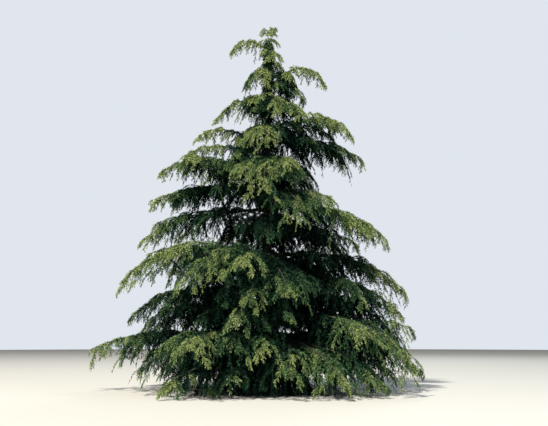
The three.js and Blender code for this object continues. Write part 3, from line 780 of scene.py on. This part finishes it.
def plumes_on_branches(seed):
    """The plumes of the side branches, left and right in turn."""
    random = np.random.default_rng(seed)
    size = limb_sizes[branches.limb]
    spacing = mix(*PLUME_SPACING, branches.low) * mix(*SPACING_BY_SIZE, size)
    count = np.maximum(FEWEST_PLUMES, np.round(branch_reach / spacing)).astype(int)
    of, place = in_rows(count)
    t = (place + PLUME_PLACE + PLUME_PLACE_SCATTER * random.random(len(of))) / count[of]
    angle = mix(*PLUME_ANGLES, t) + PLUME_ANGLE_SCATTER * random.uniform(-1, 1, len(of))
    along = branches.direction(of, t)
    azimuth = np.arctan2(along[:, 1], along[:, 0]) + side_of(place) * np.radians(angle)
    slope = along[:, 2] / np.hypot(along[:, 0], along[:, 1])
    length = mix(*PLUME_LENGTHS, size[of]) * mix(*PLUME_SHORTENING, t * t)
    length *= random.uniform(*PLUME_SCATTER, len(of))
    length *= tip_shrink(branch_place[of]) * (1 + LONG_PLUMES * random.random(len(of)) ** LONG_POWER)
    return hanging(branches.point(of, t), azimuth, slope, length, branches.limb[of], branches.low[of])


def plumes_on_limb(limb, seed, of_limb, low):
    """The plumes that a limb or fork carries itself, left and right in turn."""
    random = np.random.default_rng(LIMB_SEEDS + seed)
    spacing = LIMB_PLUME_SPACING[low] * mix(*SPACING_BY_SIZE, limb.size)
    count = max(FEWEST_ON_LIMB, round(run_of(limb) / spacing))
    i = np.arange(count)
    s = mix(limb.start, PLUMES_END, (i + random.random(count)) / count)
    angle = side_of(i) * np.radians(random.uniform(*LIMB_PLUME_ANGLES, count))
    length = mix(*PLUME_LENGTHS, limb.size) * random.uniform(*PLUME_SCATTER, count) * tip_shrink(s)
    slope = slope_of(limb, s) * np.cos(angle)
    numbers = (np.full(count, of_limb), np.full(count, low))
    return hanging(point_on(limb, s), limb.azimuth + angle, slope, length, *numbers)


def plumes_on_trunk(seed):
    """The plumes that the trunk carries itself, all round it."""
    random = np.random.default_rng(seed)
    ends = (TRUNK_PLUMES_FROM[1], TRUNK_TOP)
    low, top = [np.arange(*run) for run in zip(TRUNK_PLUMES_FROM, ends, TRUNK_PLUME_SPACING)]
    z = np.concatenate([low, top])
    azimuth = np.arange(len(z)) * math.radians(GOLDEN_TURN)
    size = np.repeat(TRUNK_PLUME_SIZE, [len(low), len(top)])
    length = PLUME_LENGTHS[0] * random.uniform(*PLUME_SCATTER, len(z)) * size
    leader = np.full(len(z), len(limbs) - 1)
    return hanging(trunk_axis(z), azimuth, np.full(len(z), PLUME_SLOPES[1]), length, leader, 0 * leader)


def short_shoots(seed):
    """Short side shoots on the plumes in the light, left and right in turn, and the plume of each."""
    random = np.random.default_rng(seed)
    of = np.repeat(np.flatnonzero(lit), SHOOTS_ON_PLUME)
    place = np.tile(np.arange(SHOOTS_ON_PLUME), len(of) // SHOOTS_ON_PLUME)
    t = place + SHOOT_PLACE + SHOOT_PLACE_SCATTER * random.random(len(of))
    t /= SHOOTS_ON_PLUME + SHOOTS_CLEAR
    along = plumes.direction(of, t)
    across = plumes.across[of]
    over = np.cross(along, across)
    twist = random.uniform(-SHOOT_TWIST, SHOOT_TWIST, len(of))[:, None]
    side = side_of(place)[:, None] * (np.cos(twist) * across + np.sin(twist) * over)
    angle = math.radians(SHOOT_ANGLE)
    towards = unit(math.cos(angle) * along + math.sin(angle) * side - SHOOT_DROOP * UP)
    length = mix(*SHOOT_LENGTHS, t) * random.uniform(*SHOOT_SCATTER, len(of))
    length *= mix(*SHOOT_BY_SIZE, limb_sizes[plumes.limb[of]])
    terms = np.stack([length[:, None] * towards, -SHOOT_FALL * length[:, None] * UP, 0 * towards], axis=1)
    level = unit(np.cross(UP, towards) + NUDGE)
    return Shoots(plumes.point(of, t), terms, level, plumes.limb[of], plumes.low[of]), of


def blades_of(corners):
    """Separate triangles, by the corners of each."""
    return corners.reshape(-1, 3), np.arange(3 * len(corners)).reshape(-1, 3)


plumes_on_limbs = [plumes_on_limb(*carrier) for carrier in carriers]
plume_groups = [plumes_on_branches(seed=1), plumes_on_trunk(seed=2), *plumes_on_limbs]
plumes, _ = kept_in_reach(joined(plume_groups))
plume_middles, plume_lengths = plumes.at(0.5), plumes.length()
plume_lights = shares_of_light(plumes.at(LIT_AT), plume_middles, plume_lengths)
plume_seen = np.sort(plume_lights, axis=1)[:, -WAYS_SEEN]
plume_light = daylight(plume_lights)
lit = plume_seen > LEAST_SEEN
deep = plume_seen < DEEP_SEEN
shaded = ~lit & ~deep
shoots, plume_of_shoot = short_shoots(seed=5)
shoots, kept = kept_in_reach(shoots)
plume_of_shoot = plume_of_shoot[kept]
plume_radii = PLUME_RADIUS * mix(*RADIUS_BY_SIZE, limb_sizes[plumes.limb])
shaded_wood = wood_of(plumes.those(~lit), plume_radii[~lit], SHADED_RINGS)
plume_wood = wood_of(plumes.those(lit), plume_radii[lit], PLUME_RINGS)
half = SHOOT_RADIUS * shoots.across
slivers = np.stack([shoots.root - half, shoots.at(1), shoots.root + half], axis=1)
twig_pieces = [
    piece_of("shaded_twigs", *shaded_wood, [twig_brown], smooth=True),
    piece_of("hanging_twigs", *plume_wood, [twig_brown], smooth=True),
    piece_of("short_shoots", *blades_of(slivers), [twig_brown]),
]
for piece in twig_pieces:
    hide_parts(*foliage_nodes)

# The needles: stiff green leaves that grow all round every shoot and sweep towards its tip. Here
# each is a flat pointed blade that stands for a small tuft. Those that show are fine, and those deep
# in the shade are larger and fewer.
NEEDLE_SWEEP = (62, 28)  # degrees from the shoot, at its root and at its tip
FEWEST_NEEDLES = 5
NEEDLES_START = 0.02
NEEDLE_TURN_SCATTER = 0.5  # radians round the shoot, either way
NEEDLE_ROLL = 1.2  # radians round its own middle line, either way
NEEDLE_LENGTHS = (0.8, 1.15)  # shortest and longest, over the usual
NEEDLE_SHORTENING = (1, 0.65)  # at a shoot's root and at its tip
NEEDLE_WIDTHS = (0.85, 1.15)
NEEDLE_LOWEST = 0.01
# Needles for each metre of shoot, their length and their half width
DEEP_NEEDLES = (40, 0.165, 0.044)
SHADED_NEEDLES = (52, 0.105, 0.026)
BRANCH_NEEDLES = (40, 0.09, 0.014)
PLUME_NEEDLES = (66, 0.078, 0.0125)
SHOOT_NEEDLES = (90, 0.068, 0.0115)
NEEDLE_ROUGHNESS = 0.6
NEEDLE_SPECULAR = 0.08
# From painted deep shade to painted sunlight: deep plumes get the dark blue greens and open ones the pale
# yellow greens. This is partly how real shade and sun needles differ, and partly painted light and shade.
NEEDLE_COLOURS = {
    "needles_painted_deep_shade": (0.0005, 0.010, 0.005, 1),
    "needles_blue_green": (0.003, 0.022, 0.012, 1),
    "needles_dark_green": (0.011, 0.036, 0.018, 1),
    "needles_green": (0.026, 0.062, 0.028, 1),
    "needles_fresh_and_painted_sunlit": (0.054, 0.102, 0.040, 1),
    "needles_yellow_green": (0.104, 0.157, 0.056, 1),
    "needles_straw": (0.172, 0.220, 0.082, 1),
}
DARKEST = -1  # tone of a plume in full shade, on the list of colours
LIT_TONES = 11.0  # from there to full light, so that the list ends well before full light
LIGHT_POWER = 1.45  # over 1 keeps the half shade dark
LIGHT_AT_GROUND = 0.92  # painted shade near the ground: the daylight there, over that high up
OPEN_HEIGHT = 8  # metres up, from where the daylight is full
TONE_SCATTER = 0.4
LOBE_SCATTER = 0.7  # of all plumes in one small part of the crown together
LOBE_CELLS = 2  # along each side of such a part
LOBE_AT = 0.3  # place on a plume that tells which part it is in
TIP_TONE = 1.0  # how much lighter the needles at a shoot's tip are than those at its root
SHOOT_TONE = 0.3  # of the needles on short shoots, over those on their plume
WOODY_TONE = -0.6  # of the needles straight on limbs and branches, over a plume's in that light
STRETCH_LENGTH = 0.35
FEWEST_STRETCHES = 3
PIECES_OF_NEEDLES = 5


def needles_on(shoots, tone, per_metre, needle_length, half_width, seed):
    """The corners of all needles on these shoots, with the limb and the tone of each."""
    random = np.random.default_rng(seed)
    count = np.maximum(FEWEST_NEEDLES, shoots.length() * per_metre).astype(int)
    of, place = in_rows(count)
    t = np.clip((place + random.random(len(of))) / count[of], NEEDLES_START, 1)
    root = shoots.point(of, t)
    along = shoots.direction(of, t)
    across = shoots.across[of]
    over = np.cross(along, across)
    scatter = random.uniform(-NEEDLE_TURN_SCATTER, NEEDLE_TURN_SCATTER, len(of))
    turn = (place * math.radians(GOLDEN_TURN) + scatter)[:, None]
    outwards = np.cos(turn) * across + np.sin(turn) * over
    sweep = np.radians(mix(*NEEDLE_SWEEP, t))[:, None]
    axis = unit(np.cos(sweep) * along + np.sin(sweep) * outwards)
    length = needle_length * random.uniform(*NEEDLE_LENGTHS, len(of)) * mix(*NEEDLE_SHORTENING, t)
    half = half_width * random.uniform(*NEEDLE_WIDTHS, len(of))
    lie = unit(np.cross(axis, outwards))
    stand = np.cross(lie, axis)
    roll = random.uniform(-NEEDLE_ROLL, NEEDLE_ROLL, len(of))[:, None]
    edge = half[:, None] * (np.cos(roll) * lie + np.sin(roll) * stand)
    blades = np.stack([root - edge, root + length[:, None] * axis, root + edge], axis=1)
    return blades, shoots.limb[of], tone[of] + TIP_TONE * (t - 0.5)


def tone_in(light, height):
    """The tone of foliage at this height, as painted light and shade by its share of the daylight, before
    any scatter.
    """
    around = mix(LIGHT_AT_GROUND, 1, np.clip(height / OPEN_HEIGHT, 0, 1))
    return DARKEST + LIT_TONES * (around * light) ** LIGHT_POWER


def stretches(bough, of_limb, low):
    """The part of a limb or fork that carries foliage, as short straight shoots end to end."""
    count = max(FEWEST_STRETCHES, math.ceil(run_of(bough) / STRETCH_LENGTH))
    points = point_on(bough, np.linspace(bough.start, BRANCHES_END, count + 1))
    terms = np.stack([np.diff(points, axis=0), 0 * points[1:], 0 * points[1:]], axis=1)
    across = np.repeat(heading(bough.azimuth + math.pi / 2)[None], count, axis=0)
    return Shoots(points[:-1], terms, across, np.full(count, of_limb), np.full(count, low))


greens = []
for name, colour in NEEDLE_COLOURS.items():
    greens.append(principled(name, colour, NEEDLE_ROUGHNESS, NEEDLE_SPECULAR))
random = np.random.default_rng(seed=8)
# Each plume's colour is painted light and shade by the daylight worked out for it, with random scatter by
# plume and by part of the crown.
tone = tone_in(plume_light, plumes.root[:, 2]) + random.normal(0, TONE_SCATTER, len(plumes.root))
lobe_tones = random.normal(0, LOBE_SCATTER, CROWN_CELLS)
tone += lobe_tones[tuple(k // LOBE_CELLS for k in cell_of(plumes.at(LOBE_AT)))]
woody = joined([branches, *[stretches(bough, i, low) for bough, _, i, low in carriers]])
# Needles straight on limbs and branches get painted light and shade the same way, a little darker.
woody_light = daylight(shares_of_light(woody.at(0.5), plume_middles, plume_lengths))
woody_tone = tone_in(woody_light, woody.root[:, 2]) + WOODY_TONE
needled = [
    needles_on(plumes.those(deep), tone[deep], *DEEP_NEEDLES, seed=10),
    needles_on(plumes.those(shaded), tone[shaded], *SHADED_NEEDLES, seed=11),
    needles_on(plumes.those(lit), tone[lit], *PLUME_NEEDLES, seed=12),
    needles_on(shoots, tone[plume_of_shoot] + SHOOT_TONE, *SHOOT_NEEDLES, seed=13),
    needles_on(woody, woody_tone, *BRANCH_NEEDLES, seed=14),
]
blades, limb_of, tone_of = [np.concatenate(group) for group in zip(*needled)]
blades[..., 2] = np.maximum(blades[..., 2], NEEDLE_LOWEST)
colour_of = np.clip(np.round(tone_of), 0, len(greens) - 1).astype(int)
share = np.array([np.count_nonzero(limb_of <= i) for i in range(len(limbs))]) / len(limb_of)
piece_of_limb = np.ceil(share * PIECES_OF_NEEDLES).astype(int) - 1
for k in range(PIECES_OF_NEEDLES):
    chosen = piece_of_limb[limb_of] == k
    piece = piece_of(f"needles_{k + 1}", *blades_of(blades[chosen]), greens, colour_of[chosen])
    named = [limb.name for limb, piece_number in zip(limbs, piece_of_limb) if piece_number == k]
    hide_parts(*[f"foliage_{name}" for name in named])
